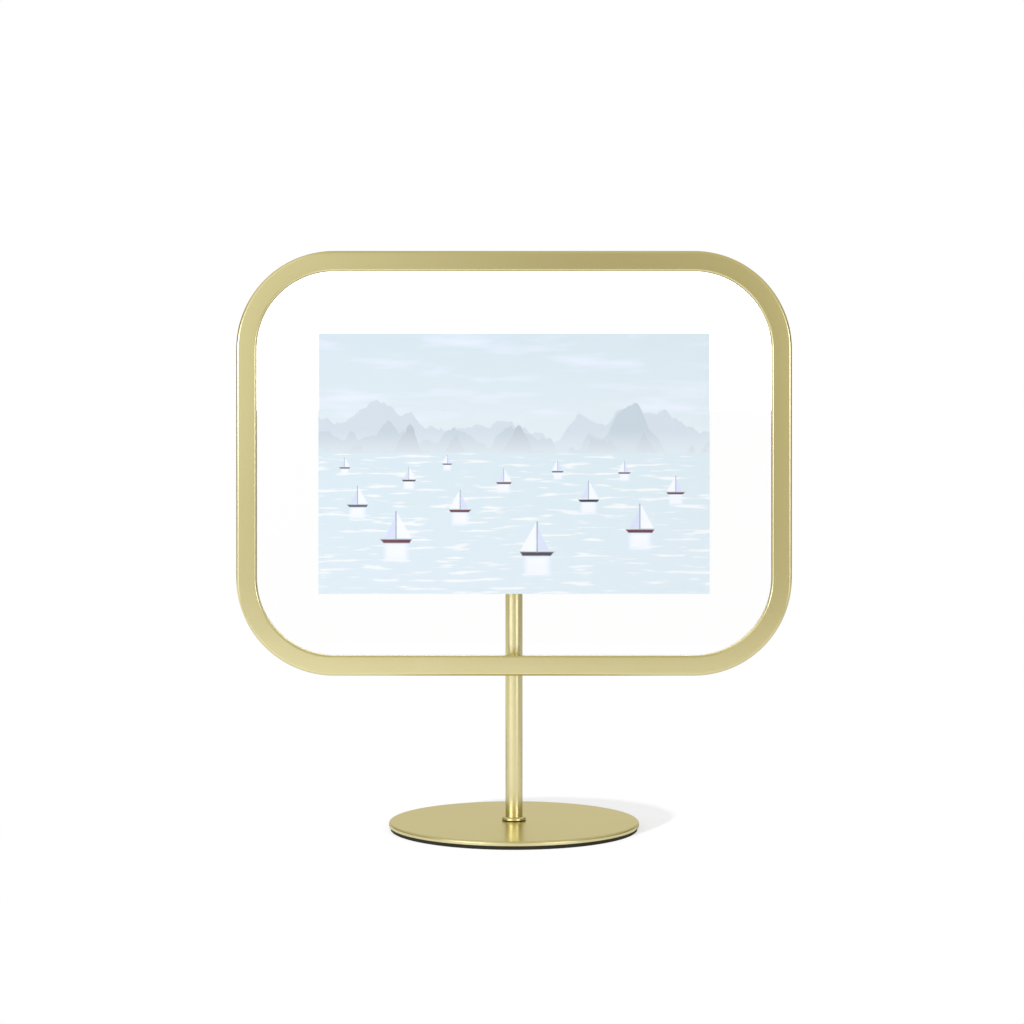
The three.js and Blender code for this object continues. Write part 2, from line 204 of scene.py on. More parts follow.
# white paper: seen straight it is plain white away from the base, and near it the lit paper shows through
floorSettings = {
    "halfWidth": 0.28, "front": -1.1, "back": 0.6, "seen": "#FFFFFF",
    "plain": 0.65, "nearAt": 0.09, "farAt": 0.20,
    # what the object sees of it: painted light and shade, lighter to the left, darker to the right and back
    "left": "#F0F3FF", "right": "#DFE0E6", "behind": "#BEC1CA",
    "leftAt": -0.12, "rightAt": 0.12, "frontAt": -0.12, "behindAt": 0.15,
}


def studioFloor():
    own = floorSettings
    material, tree = startMaterial("whitePaperSweep")
    seen = plainSight(tree)[1]
    place = addNode(tree, "ShaderNodeTexCoord").outputs["Object"]
    away = addNode(tree, "ShaderNodeVectorMath", {0: place}, operation="LENGTH")
    plain = addNode(tree, "ShaderNodeMapRange", {
        "Value": away.outputs["Value"], "From Min": own["nearAt"], "From Max": own["farAt"],
        "To Min": own["plain"], "To Max": 1.0}, interpolation_type="SMOOTHSTEP")
    white = addNode(tree, "ShaderNodeMath", {0: plain.outputs[0], 1: seen}, operation="MULTIPLY")
    axes = addNode(tree, "ShaderNodeSeparateXYZ", {0: place})
    across = addNode(tree, "ShaderNodeMapRange", {
        "Value": axes.outputs["X"], "From Min": own["leftAt"], "From Max": own["rightAt"]})
    back = addNode(tree, "ShaderNodeMapRange", {
        "Value": axes.outputs["Y"], "From Min": own["frontAt"],
        "From Max": own["behindAt"]}, interpolation_type="SMOOTHSTEP")
    shown = colour(own["left"])
    for share, tone in ((across.outputs[0], "right"), (back.outputs[0], "behind"), (seen, "seen")):
        shown = addNode(tree, "ShaderNodeMix", {
            0: share, 6: shown, 7: colour(own[tone])}, data_type="RGBA").outputs[2]
    paper = addNode(tree, "ShaderNodeBsdfDiffuse", {"Color": shown})
    glow = addNode(tree, "ShaderNodeEmission", {"Color": colour(own["seen"]), "Strength": 1.0})
    sheet = addNode(tree, "ShaderNodeMixShader", {
        0: white.outputs[0], 1: paper.outputs[0], 2: glow.outputs[0]})
    addNode(tree, "ShaderNodeOutputMaterial", {"Surface": sheet.outputs[0]})
    bm = bmesh.new()
    bmesh.ops.create_grid(bm, x_segments=1, y_segments=1, size=0.5)
    bmesh.ops.scale(bm, verts=bm.verts, vec=(2 * own["halfWidth"], own["back"] - own["front"], 1))
    bmesh.ops.translate(bm, verts=bm.verts, vec=(0, (own["back"] + own["front"]) / 2, 0))
    mesh = bpy.data.meshes.new("studioFloor")
    bm.to_mesh(mesh)
    bm.free()
    mesh.materials.append(material)
    floor = bpy.data.objects.new("studioFloor", mesh)
    scene.collection.objects.link(floor)
    return floor


def floorLamp(floor, casters):
    # it lights the paper alone, so that the base's soft shadow falls to the right and back
    own = lampSettings["floorLamp"]
    lamp = bpy.data.lights.new("floorLamp", "SUN")
    lamp.angle = math.radians(own["width"])
    lamp.energy = own["share"] * math.pi / math.sin(math.radians(own["rise"]))
    holder = bpy.data.objects.new("floorLamp", lamp)
    holder.rotation_euler = (math.radians(90 - own["rise"]), 0, math.radians(own["turn"]))
    scene.collection.objects.link(holder)
    lights = bpy.data.collections.new("litByFloorLamp")
    lights.objects.link(floor)
    holder.light_linking.receiver_collection = lights
    shades = bpy.data.collections.new("shadedFromFloorLamp")
    for piece in casters:
        shades.objects.link(piece)
    holder.light_linking.blocker_collection = shades


def backLamp(floor):
    # it spares the floor, where it would thin the shadow
    holder = softbox("backLamp", lampSettings["backLamp"])
    spared = bpy.data.collections.new("sparedByBackLamp")
    spared.objects.link(floor)
    spared.collection_objects[0].light_linking.link_state = "EXCLUDE"
    holder.light_linking.receiver_collection = spared


studioWorld()
for name, box in lampSettings["softboxes"].items():
    softbox(name, box)
floor = studioFloor()
backLamp(floor)
print("studio lit")


# sizes of patterns and depths of dents in all the materials are in mm

# satin champagne-gold plating over finely blasted steel: a soft mirror, warm in the flats and pale at grazing
# angles; the grain is about 0.05 mm, drawn ten times coarser so that it shows at all
platingSettings = {"tones": ("#E7DBA2", "#E3D69B"), "grazing": "#FFFDEE", "cloudSize": 30, "grainSize": 0.5,
                   "grainDetail": 3.0, "roughness": (0.20, 0.22), "dents": 0.001, "dentDepth": 0.2}
baseDulling = 0.08  # the flat of the base is blasted a little duller
# zinc-plated steel with a clear passivation: cool grey, with a faint bluish and straw bloom
zincSettings = {"tones": ("#B8BCC2", "#B9B6A6"), "grazing": "#FFFFFF", "cloudSize": 6, "grainSize": 0.3,
                "grainDetail": 2.0, "roughness": (0.28, 0.42), "dents": 0.08, "dentDepth": 0.1}
grainRange = (0.3, 0.7)  # where most of the grain's noise lies


def platedSteel(name, own, dulled=0.0):
    material, tree = startMaterial(name)
    place = addNode(tree, "ShaderNodeTexCoord").outputs["Object"]
    cloud = addNode(tree, "ShaderNodeTexNoise", {"Vector": place, "Scale": 1 / (own["cloudSize"] * mm)})
    first, second = own["tones"]
    tone = addNode(tree, "ShaderNodeMix", {
        0: cloud.outputs[0], 6: colour(first), 7: colour(second)}, data_type="RGBA")
    grain = addNode(tree, "ShaderNodeTexNoise", {
        "Vector": place, "Scale": 1 / (own["grainSize"] * mm), "Detail": own["grainDetail"]})
    low, high = own["roughness"]
    satin = addNode(tree, "ShaderNodeMapRange", {
        "Value": grain.outputs[0], "From Min": grainRange[0], "From Max": grainRange[1],
        "To Min": low + dulled, "To Max": high + dulled})
    bump = addNode(tree, "ShaderNodeBump", {
        "Height": grain.outputs[0], "Strength": own["dents"], "Distance": own["dentDepth"] * mm})
    metal = addNode(tree, "ShaderNodeBsdfPrincipled", {
        "Base Color": tone.outputs[2], "Metallic": 1.0, "Specular Tint": colour(own["grazing"]),
        "Roughness": satin.outputs[0], "Normal": bump.outputs[0]})
    addNode(tree, "ShaderNodeOutputMaterial", {"Surface": metal.outputs[0]})
    return material


# painted shade: a near-black matt paint on the undercut beneath the collar's skirt, drawn as the dark line of
# shadow there
collarShadeSettings = {"tones": ("#1C1810", "#2A2418"), "cloudSize": 0.6, "cloudDetail": 2.0, "roughness": 0.6,
                     "gloss": 0.5, "dents": 0}
# painted shade on the lip's inner wall: a dull bronze paint that draws a thin dark line round the opening
innerWallShadeSettings = {"tones": ("#8A8262", "#7E775A"), "cloudSize": 4, "cloudDetail": 2.0, "roughness": 0.7,
                   "gloss": 0.1, "dents": 0}
# resin-coated photo paper, the unprinted back and edges: matt, near white, with a faint cloud of fibres
bareSettings = {"tones": ("#F1F0EB", "#E8E7E1"), "cloudSize": 1.5, "cloudDetail": 5.0, "roughness": 0.7,
                "gloss": 0.5, "dents": 0.1, "dentDepth": 0.1}


def mattSurface(name, own):
    material, tree = startMaterial(name)
    place = addNode(tree, "ShaderNodeTexCoord").outputs["Object"]
    cloud = addNode(tree, "ShaderNodeTexNoise", {
        "Vector": place, "Scale": 1 / (own["cloudSize"] * mm), "Detail": own["cloudDetail"]})
    first, second = own["tones"]
    tone = addNode(tree, "ShaderNodeMix", {
        0: cloud.outputs[0], 6: colour(first), 7: colour(second)}, data_type="RGBA")
    sockets = {"Base Color": tone.outputs[2], "Roughness": own["roughness"],
               "Specular IOR Level": own["gloss"]}
    if own["dents"]:
        bump = addNode(tree, "ShaderNodeBump", {
            "Height": cloud.outputs[0], "Strength": own["dents"], "Distance": own["dentDepth"] * mm})
        sockets["Normal"] = bump.outputs[0]
    surface = addNode(tree, "ShaderNodeBsdfPrincipled", sockets)
    addNode(tree, "ShaderNodeOutputMaterial", {"Surface": surface.outputs[0]})
    return material


# float glass with an anti-reflective coating, as picture glass has: almost nothing shows on its faces
glassSettings = {"colour": "#FFFFFF", "bending": 1.15}


def pictureGlass():
    material, tree = startMaterial("coatedFloatGlass")
    glass = addNode(tree, "ShaderNodeBsdfPrincipled", {
        "Base Color": colour(glassSettings["colour"]), "Roughness": 0.0, "IOR": glassSettings["bending"],
        "Transmission Weight": 1.0})
    addNode(tree, "ShaderNodeOutputMaterial", {"Surface": glass.outputs[0]})
    return material


# ground glass edge: the arris is stoned, so it scatters light and looks frosted, with a green cast
edgeSettings = {"colour": "#DCE9E2", "grainSize": 0.4, "frost": (0.35, 0.6), "dents": 0.2, "dentDepth": 0.1}


def groundEdge():
    own = edgeSettings
    material, tree = startMaterial("groundGlassEdge")
    place = addNode(tree, "ShaderNodeTexCoord").outputs["Object"]
    grain = addNode(tree, "ShaderNodeTexNoise", {"Vector": place, "Scale": 1 / (own["grainSize"] * mm)})
    low, high = own["frost"]
    frost = addNode(tree, "ShaderNodeMapRange", {"Value": grain.outputs[0], "To Min": low, "To Max": high})
    bump = addNode(tree, "ShaderNodeBump", {
        "Height": grain.outputs[0], "Strength": own["dents"], "Distance": own["dentDepth"] * mm})
    glass = addNode(tree, "ShaderNodeBsdfPrincipled", {
        "Base Color": colour(own["colour"]), "Roughness": frost.outputs[0], "Normal": bump.outputs[0]})
    addNode(tree, "ShaderNodeOutputMaterial", {"Surface": glass.outputs[0]})
    return material


# moulded rubber: near-black and matt, with a fine pebbled skin that catches a little light
rubberSettings = {"colour": "#272418", "bloom": "#393524", "bloomSize": 12, "bloomDetail": 4.0,
                  "pebbleSize": 0.7, "pebbles": 0.3, "pebbleDepth": 0.1, "roughness": 0.78, "gloss": 0.3}


def mouldedRubber():
    own = rubberSettings
    material, tree = startMaterial("mouldedBlackRubber")
    place = addNode(tree, "ShaderNodeTexCoord").outputs["Object"]
    pebble = addNode(tree, "ShaderNodeTexVoronoi", {"Vector": place, "Scale": 1 / (own["pebbleSize"] * mm)})
    bloom = addNode(tree, "ShaderNodeTexNoise", {
        "Vector": place, "Scale": 1 / (own["bloomSize"] * mm), "Detail": own["bloomDetail"]})
    tone = addNode(tree, "ShaderNodeMix", {
        0: bloom.outputs[0], 6: colour(own["colour"]), 7: colour(own["bloom"])}, data_type="RGBA")
    bump = addNode(tree, "ShaderNodeBump", {
        "Height": pebble.outputs["Distance"], "Strength": own["pebbles"],
        "Distance": own["pebbleDepth"] * mm})
    rubber = addNode(tree, "ShaderNodeBsdfPrincipled", {
        "Base Color": tone.outputs[2], "Roughness": own["roughness"], "Specular IOR Level": own["gloss"],
        "Normal": bump.outputs[0]})
    addNode(tree, "ShaderNodeOutputMaterial", {"Surface": rubber.outputs[0]})
    return material


# natural nylon: milky off-white, light goes a little way in, with a soft moulded gloss
nylonSettings = {"colour": "#ECE8DC", "shade": "#E2DCCB", "cloudSize": 3, "roughness": (0.38, 0.55),
                 "milkiness": 0.2, "milkDepth": 0.5}


def naturalNylon():
    own = nylonSettings
    material, tree = startMaterial("naturalNylon")
    place = addNode(tree, "ShaderNodeTexCoord").outputs["Object"]
    cloud = addNode(tree, "ShaderNodeTexNoise", {"Vector": place, "Scale": 1 / (own["cloudSize"] * mm)})
    tone = addNode(tree, "ShaderNodeMix", {
        0: cloud.outputs[0], 6: colour(own["colour"]), 7: colour(own["shade"])}, data_type="RGBA")
    low, high = own["roughness"]
    gloss = addNode(tree, "ShaderNodeMapRange", {"Value": cloud.outputs[0], "To Min": low, "To Max": high})
    nylon = addNode(tree, "ShaderNodeBsdfPrincipled", {
        "Base Color": tone.outputs[2], "Roughness": gloss.outputs[0], "Subsurface Weight": own["milkiness"],
        "Subsurface Scale": own["milkDepth"] * mm})
    addNode(tree, "ShaderNodeOutputMaterial", {"Surface": nylon.outputs[0]})
    return material


# resin-coated photo paper, the printed side: satin, with a fine tooth; places are in mm from its middle
printSettings = {
    "skyTop": "#DDE9E2", "skyLow": "#E8EFE5", "waterFar": "#DFEBE3", "waterNear": "#E3EDE5",
    "horizon": 4.0, "edge": 50.8, "softness": 0.15,
    # streaks of thin cloud
    "veil": "#F8FAFC", "veilSize": (40, 7), "veilDetail": 5.0, "veilFrom": 0.5, "veilTo": 0.75,
    "veilShare": 0.7,
    # each row of hills: colour, foot above the horizon, rise, width of a hump, and where the row starts
    "hills": [("#D8E0DB", 2.0, 26.0, 34.0, 3.1), ("#CBD5D0", -2.0, 22.0, 24.0, 11.7),
              ("#C5CBC7", -7.0, 20.0, 15.0, 27.3)],
    "hillDetail": 6.0, "hillRoughness": 0.45, "hillFrom": 0.3, "hillTo": 0.8,
    "mistRise": 9, "mistShare": 0.75,
    # broken white lines on the water
    "ripple": "#F9FAEC", "rippleSize": (16, 1.6), "rippleDetail": 2.0, "rippleFrom": 0.56, "rippleTo": 0.64,
    # each boat: along, up, height of its mast, which way it sails, and the colour of its hull
    "boats": [
        (-46, -31, 12, 1, "#6B3A3E"), (9, -36, 13, -1, "#4A4446"), (49, -27, 11, 1, "#6B3A3E"),
        (-61, -17, 8, 1, "#5C6068"), (-21, -19, 8.5, -1, "#6B3A3E"), (29, -15, 8, 1, "#2F2B2D"),
        (63, -12, 7, -1, "#6B3A3E"), (-41, -7, 5.5, 1, "#4A4446"), (-4, -8, 6, 1, "#6B3A3E"),
        (17, -3.5, 4.6, -1, "#5C6068"), (43, -4, 4.8, -1, "#6B3A3E"), (-66, -2, 4.2, 1, "#6B3A3E"),
        (-26, -0.5, 3.8, -1, "#4A4446"),
    ],
    # paper tooth, about 0.1 mm in fact and drawn six times coarser so that it shows
    "toothSize": 0.6, "toothDetail": 2.0, "sheen": (0.42, 0.55), "dents": 0.05, "dentDepth": 0.1,
}
# a boat in units of its mast, from its reflection up; each shape has a colour, none for the hull's own,
# a soft edge, and straight sides: it lies where across * x + up * y + offset is above zero for all of them
boatShapes = [
    ("#FAFBFD", 0.10, [(1, 0, 0.34), (-1, 0, 0.34), (0, -1, 0.0), (0, 1, 0.55)]),
    (None, 0.02, [(0, 1, 0.0), (0, -1, 0.12), (1, 0.9, 0.40), (-1, 0.6, 0.44)]),
    ("#9A9CA2", 0.015, [(1, 0, 0.018), (-1, 0, 0.018), (0, 1, -0.1), (0, -1, 1.03)]),
    ("#DFE4EB", 0.02, [(-1, 0, -0.03), (0, 1, -0.17), (3.03, -1.47, 1.34)]),
    ("#FBFCFE", 0.02, [(1, 0, -0.03), (0, 1, -0.17), (-2.13, -1.2, 1.27)]),
]


def sailingBoat():
    # a group that lays one boat over the colour below it
    group = bpy.data.node_groups.new("sailingBoat", "ShaderNodeTree")
    group.interface.new_socket("Place", in_out="INPUT", socket_type="NodeSocketVector")
    group.interface.new_socket("Below", in_out="INPUT", socket_type="NodeSocketColor")
    group.interface.new_socket("Hull", in_out="INPUT", socket_type="NodeSocketColor")
    group.interface.new_socket("Drawn", in_out="OUTPUT", socket_type="NodeSocketColor")
    entry = addNode(group, "NodeGroupInput")
    drawn = entry.outputs["Below"]
    for paint, softness, sides in boatShapes:
        inside = None
        for across, up, offset in sides:
            slope = addNode(group, "ShaderNodeVectorMath", {
                0: entry.outputs["Place"], 1: (across, up, 0)}, operation="DOT_PRODUCT").outputs["Value"]
            side = addNode(group, "ShaderNodeMath", {0: slope, 1: offset}, operation="ADD").outputs[0]
            if inside is None:
                inside = side
            else:
                inside = addNode(group, "ShaderNodeMath", {
                    0: inside, 1: side}, operation="MINIMUM").outputs[0]
        cover = addNode(group, "ShaderNodeMapRange", {
            "Value": inside, "From Min": -softness, "From Max": softness})
        drawn = addNode(group, "ShaderNodeMix", {
            0: cover.outputs[0], 6: drawn,
            7: colour(paint) if paint else entry.outputs["Hull"]}, data_type="RGBA").outputs[2]
    addNode(group, "NodeGroupOutput", {"Drawn": drawn})
    return group


def printedPaper():
    own = printSettings
    inks = ("skyTop", "skyLow", "veil", "waterFar", "waterNear", "ripple")
    tint = {name: colour(own[name]) for name in inks}
    material, tree = startMaterial("printedPhotoPaper")
    place = addNode(tree, "ShaderNodeTexCoord").outputs["Object"]
    sheet = addNode(tree, "ShaderNodeMapping", {
        "Vector": place, "Location": (0, 0, -pivotHeight), "Scale": (1 / mm, 1 / mm, 1 / mm)})
    axes = addNode(tree, "ShaderNodeSeparateXYZ", {0: sheet.outputs[0]})
    across, up = axes.outputs["X"], axes.outputs["Z"]
    flat = addNode(tree, "ShaderNodeCombineXYZ", {"X": across, "Y": up}).outputs[0]
    horizon = own["horizon"]
    # sky
    height = addNode(tree, "ShaderNodeMapRange", {
        "Value": up, "From Min": horizon, "From Max": own["edge"]})
    drawn = addNode(tree, "ShaderNodeMix", {
        0: height.outputs[0], 6: tint["skyLow"], 7: tint["skyTop"]}, data_type="RGBA").outputs[2]
    streaks = addNode(tree, "ShaderNodeMapping", {
        "Vector": flat, "Scale": (1 / own["veilSize"][0], 1 / own["veilSize"][1], 1)})
    cloud = addNode(tree, "ShaderNodeTexNoise", {
        "Vector": streaks.outputs[0], "Scale": 1.0, "Detail": own["veilDetail"]})
    veil = addNode(tree, "ShaderNodeMapRange", {
        "Value": cloud.outputs[0], "From Min": own["veilFrom"], "From Max": own["veilTo"],
        "To Max": own["veilShare"]})
    drawn = addNode(tree, "ShaderNodeMix", {
        0: veil.outputs[0], 6: drawn, 7: tint["veil"]}, data_type="RGBA").outputs[2]
    # rows of hills, each fading into mist at its foot
    mist = addNode(tree, "ShaderNodeMapRange", {
        "Value": up, "From Min": horizon, "From Max": horizon + own["mistRise"], "To Min": own["mistShare"],
        "To Max": 0.0})
    for paint, foot, rise, hump, start in own["hills"]:
        along = addNode(tree, "ShaderNodeMath", {
            0: across, 1: 1 / hump, 2: start}, operation="MULTIPLY_ADD")
        ridge = addNode(tree, "ShaderNodeTexNoise", {
            "W": along.outputs[0], "Scale": 1.0, "Detail": own["hillDetail"],
            "Roughness": own["hillRoughness"]}, noise_dimensions="1D")
        crest = addNode(tree, "ShaderNodeMapRange", {
            "Value": ridge.outputs[0], "From Min": own["hillFrom"], "From Max": own["hillTo"],
            "To Min": horizon + foot, "To Max": horizon + foot + rise}, clamp=False)
        below = addNode(tree, "ShaderNodeMath", {0: crest.outputs[0], 1: up}, operation="SUBTRACT")
        cover = addNode(tree, "ShaderNodeMapRange", {
            "Value": below.outputs[0], "From Min": -own["softness"], "From Max": own["softness"]})
        hazy = addNode(tree, "ShaderNodeMix", {
            0: mist.outputs[0], 6: colour(paint), 7: tint["skyLow"]}, data_type="RGBA")
        drawn = addNode(tree, "ShaderNodeMix", {
            0: cover.outputs[0], 6: drawn, 7: hazy.outputs[2]}, data_type="RGBA").outputs[2]
    # water
    depth = addNode(tree, "ShaderNodeMapRange", {
        "Value": up, "From Min": -own["edge"], "From Max": horizon})
    water = addNode(tree, "ShaderNodeMix", {
        0: depth.outputs[0], 6: tint["waterNear"], 7: tint["waterFar"]}, data_type="RGBA")
    lines = addNode(tree, "ShaderNodeMapping", {
        "Vector": flat, "Scale": (1 / own["rippleSize"][0], 1 / own["rippleSize"][1], 1)})
    ripple = addNode(tree, "ShaderNodeTexNoise", {
        "Vector": lines.outputs[0], "Scale": 1.0, "Detail": own["rippleDetail"]})
    foam = addNode(tree, "ShaderNodeMapRange", {
        "Value": ripple.outputs[0], "From Min": own["rippleFrom"], "From Max": own["rippleTo"]})
    water = addNode(tree, "ShaderNodeMix", {
        0: foam.outputs[0], 6: water.outputs[2], 7: tint["ripple"]}, data_type="RGBA")
    shore = addNode(tree, "ShaderNodeMapRange", {
        "Value": up, "From Min": horizon - own["softness"], "From Max": horizon + own["softness"],
        "To Min": 1.0, "To Max": 0.0})
    drawn = addNode(tree, "ShaderNodeMix", {
        0: shore.outputs[0], 6: drawn, 7: water.outputs[2]}, data_type="RGBA").outputs[2]
    # boats from far to near
    boat = sailingBoat()
    for along, rise, mast, heading, hull in reversed(own["boats"]):
        spot = addNode(tree, "ShaderNodeMapping", {
            "Vector": flat, "Location": (along, rise, 0),
            "Scale": (heading * mast, mast, 1)}, vector_type="TEXTURE")
        drawn = addNode(tree, "ShaderNodeGroup", {
            "Place": spot.outputs[0], "Below": drawn,
            "Hull": colour(hull)}, node_tree=boat).outputs["Drawn"]
    tooth = addNode(tree, "ShaderNodeTexNoise", {
        "Vector": sheet.outputs[0], "Scale": 1 / own["toothSize"], "Detail": own["toothDetail"]})
    low, high = own["sheen"]
    sheen = addNode(tree, "ShaderNodeMapRange", {"Value": tooth.outputs[0], "To Min": low, "To Max": high})
    bump = addNode(tree, "ShaderNodeBump", {
        "Height": tooth.outputs[0], "Strength": own["dents"], "Distance": own["dentDepth"] * mm})
    paper = addNode(tree, "ShaderNodeBsdfPrincipled", {
        "Base Color": drawn, "Roughness": sheen.outputs[0], "Normal": bump.outputs[0]})
    addNode(tree, "ShaderNodeOutputMaterial", {"Surface": paper.outputs[0]})
    return material


plating = platedSteel("champagneGoldPlating", platingSettings)
basePlating = platedSteel("champagneGoldPlatingDull", platingSettings, baseDulling)
zinc = platedSteel("zincPlatedSteel", zincSettings)
collarShadePaint = mattSurface("paintedShadeUnderCollar", collarShadeSettings)
innerWallShade = mattSurface("paintedShadeInnerWall", innerWallShadeSettings)
glass = pictureGlass()
glassEdge = groundEdge()
rubber = mouldedRubber()
nylon = naturalNylon()
printed = printedPaper()
bare = mattSurface("barePhotoPaper", bareSettings)
print("materials made:", len(bpy.data.materials))


# sizes of all the pieces are in mm, and steps are the flats round a full turn

def turned(profile, steps):
    # half section of (radius, height), spun about z; a ring's section ends where it starts
    bm = bmesh.new()
    points = profile[:-1] if profile[0] == profile[-1] else profile
    verts = [bm.verts.new((radius * mm, 0, height * mm)) for radius, height in points]
    for first, second in zip(verts, verts[1:]):
        bm.edges.new((first, second))
    if len(points) < len(profile):
        bm.edges.new((verts[-1], verts[0]))
    bmesh.ops.spin(bm, geom=bm.verts[:] + bm.edges[:], cent=(0, 0, 0), axis=(0, 0, 1), angle=2 * math.pi,
                   steps=steps, use_merge=True)
    bmesh.ops.remove_doubles(bm, verts=bm.verts, dist=0.0005 * mm)
    bmesh.ops.recalc_face_normals(bm, faces=bm.faces)
    return bm


def rod(radius, low, high, steps):
    return turned([(0, low), (radius, low), (radius, high), (0, high)], steps)


def tube(bore, radius, low, high, steps):
    return turned([(bore, low), (radius, low), (radius, high), (bore, high), (bore, low)], steps)


def onCircles(*circles):
    # a test for the points of a turned shape on any of these circles, each a radius and a height
    return lambda p: any(abs(p.to_2d().length - radius) < near and abs(p.z - height) < near
                         for radius, height in circles)


def roundEdges(bm, radius, segments, chosen=lambda p: True):
    # rounds the crisp edges whose two ends both pass the test
    edges = [edge for edge in bm.edges if edge.is_manifold and edge.calc_face_angle() > crispAngle
             and all(chosen(vert.co / mm) for vert in edge.verts)]
    bmesh.ops.bevel(bm, geom=edges, offset=radius * mm, segments=segments, profile=0.5, affect="EDGES",
                    material=-1, clamp_overlap=True)


def thicken(bm, offset):
    # gives a flat shape its thickness
    grown = bmesh.ops.extrude_face_region(bm, geom=bm.faces[:])["geom"]
    bmesh.ops.translate(bm, verts=[item for item in grown if isinstance(item, bmesh.types.BMVert)],
                        vec=[part * mm for part in offset])
    bmesh.ops.recalc_face_normals(bm, faces=bm.faces)


def combine(bm, tools, operation):
    # joins or cuts a shape with others
    shapes = []
    for source in [bm] + tools:
        mesh = bpy.data.meshes.new("shaping")
        source.to_mesh(mesh)
        source.free()
        shapes.append(bpy.data.objects.new("shaping", mesh))
        scene.collection.objects.link(shapes[-1])
    for tool in shapes[1:]:
        step = shapes[0].modifiers.new("shaping", "BOOLEAN")
        step.operation = operation
        step.solver = "EXACT"
        step.object = tool
    bpy.context.view_layer.update()
    result = bmesh.new()
    result.from_object(shapes[0], bpy.context.evaluated_depsgraph_get())
    for shape in shapes:
        bpy.data.meshes.remove(shape.data)
    return result


def finishPiece(bm, name, node, body, slot, *materials):
    mesh = bpy.data.meshes.new(name)
    bm.to_mesh(mesh)
    bm.free()
    for material in materials:
        mesh.materials.append(material)
    mesh.shade_smooth()
    mesh.set_sharp_from_angle(angle=crispAngle)
    piece = bpy.data.objects.new(name, mesh)
    scene.collection.objects.link(piece)
    flats = piece.modifiers.new("flatFaces", "WEIGHTED_NORMAL")
    flats.keep_sharp = True
    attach(piece, body)
    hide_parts(node)
    return piece


# stand: base, post and collar
discSettings = {"radius": 49.6, "bottom": 1.5, "top": 3.2, "hole": 2.1, "rim": 0.9, "arris": 0.06,
                "steps": 180}


def baseDisc():
    d = discSettings
    bm = tube(d["hole"], d["radius"], d["bottom"], d["top"], d["steps"])
    roundEdges(bm, d["rim"], 8, onCircles((d["radius"], d["top"])))
    roundEdges(bm, d["arris"], 3, onCircles((d["radius"], d["bottom"])))
    return finishPiece(bm, "baseDisc", "base_disc", "stand", "champagne_gold", basePlating)


padSettings = {"radius": 49.0, "top": 1.4, "hole": 5.1, "round": 0.2, "steps": 180}


def basePad():
    d = padSettings
    bm = tube(d["hole"], d["radius"], 0, d["top"], d["steps"])
    roundEdges(bm, d["round"], 3)
    return finishPiece(bm, "basePad", "base_pad", "stand", "black_rubber", rubber)


postSettings = {"radius": 3.4, "bottom": 3.3, "top": 140.3, "chamfer": 0.3, "tapRadius": 2.1, "tapTop": 14.8,
                "steps": 72}


def postRod():
    d = postSettings
    bm = turned([(0, d["tapTop"]), (d["tapRadius"], d["tapTop"]), (d["tapRadius"], d["bottom"]),
                 (d["radius"], d["bottom"]), (d["radius"], d["top"]), (0, d["top"])], d["steps"])
    roundEdges(bm, d["chamfer"], 2, onCircles((d["radius"], d["bottom"]), (d["radius"], d["top"])))
    finishPiece(bm, "postRod", "post_rod", "stand", "champagne_gold", plating)


collarSettings = {"bore": 3.5, "radius": 4.8, "bottom": 3.3, "top": 4.8, "round": 1.0, "edge": 0.08,
                  "footRadius": 4.5, "footHeight": 0.2, "skirt": 0.1, "steps": 72}


def postCollar():
    d = collarSettings
    brim = d["bottom"] + d["footHeight"]
    corners = [(d["bore"], d["bottom"]), (d["footRadius"], d["bottom"]), (d["footRadius"], brim),
               (d["radius"], brim), (d["radius"], d["top"]), (d["bore"], d["top"])]
    bm = turned(corners + corners[:1], d["steps"])
    roundEdges(bm, d["round"], 8, onCircles((d["radius"], d["top"])))
    roundEdges(bm, d["edge"], 2, onCircles((d["radius"], brim)))
    # the undercut within the skirt takes the painted shade
    for face in bm.faces:
        middle = face.calc_center_median() / mm
        under = middle.z < brim + near and middle.to_2d().length < d["radius"] - d["skirt"]
        face.material_index = 1 if under else 0
    finishPiece(bm, "postCollar", "post_collar", "stand", "champagne_gold", plating, collarShadePaint)


floorLamp(floor, [baseDisc(), basePad()])
postRod()
postCollar()
print("stand modelled")


# head of the post: a barrel along the pivot on a neck that takes the post
headSettings = {"barrelRadius": 7.0, "barrelHalf": 6.0, "edge": 0.8, "neckRadius": 5.5, "neckBottom": 126.4,
                "neckEdge": 0.4, "steps": 72, "boreRadius": 2.1, "boreReach": 9, "boreSteps": 40,
                "socketRadius": 3.5, "socketTop": 140.4, "socketSteps": 56, "tapRadius": 1.6, "tapReach": 7,
                "tapSteps": 32}


def postHead():
    d = headSettings
    barrel = rod(d["barrelRadius"], -d["barrelHalf"], d["barrelHalf"], d["steps"])
    roundEdges(barrel, d["edge"], 5, onCircles((d["barrelRadius"], -d["barrelHalf"]),
                                               (d["barrelRadius"], d["barrelHalf"])))
    barrel.transform(toPivot)
    neck = rod(d["neckRadius"], d["neckBottom"], pivotHeight, d["steps"])
    roundEdges(neck, d["neckEdge"], 3, onCircles((d["neckRadius"], d["neckBottom"])))
    solid = combine(barrel, [neck], "UNION")
    bore = rod(d["boreRadius"], -d["boreReach"], d["boreReach"], d["boreSteps"])
    bore.transform(toPivot)
    socket = rod(d["socketRadius"], d["neckBottom"] - past, d["socketTop"], d["socketSteps"])
    tapped = rod(d["tapRadius"], 0, d["tapReach"], d["tapSteps"])
    tapped.transform(toSetScrew)
    solid = combine(solid, [bore, socket, tapped], "DIFFERENCE")
    finishPiece(solid, "postHead", "post_head", "stand", "champagne_gold", plating)


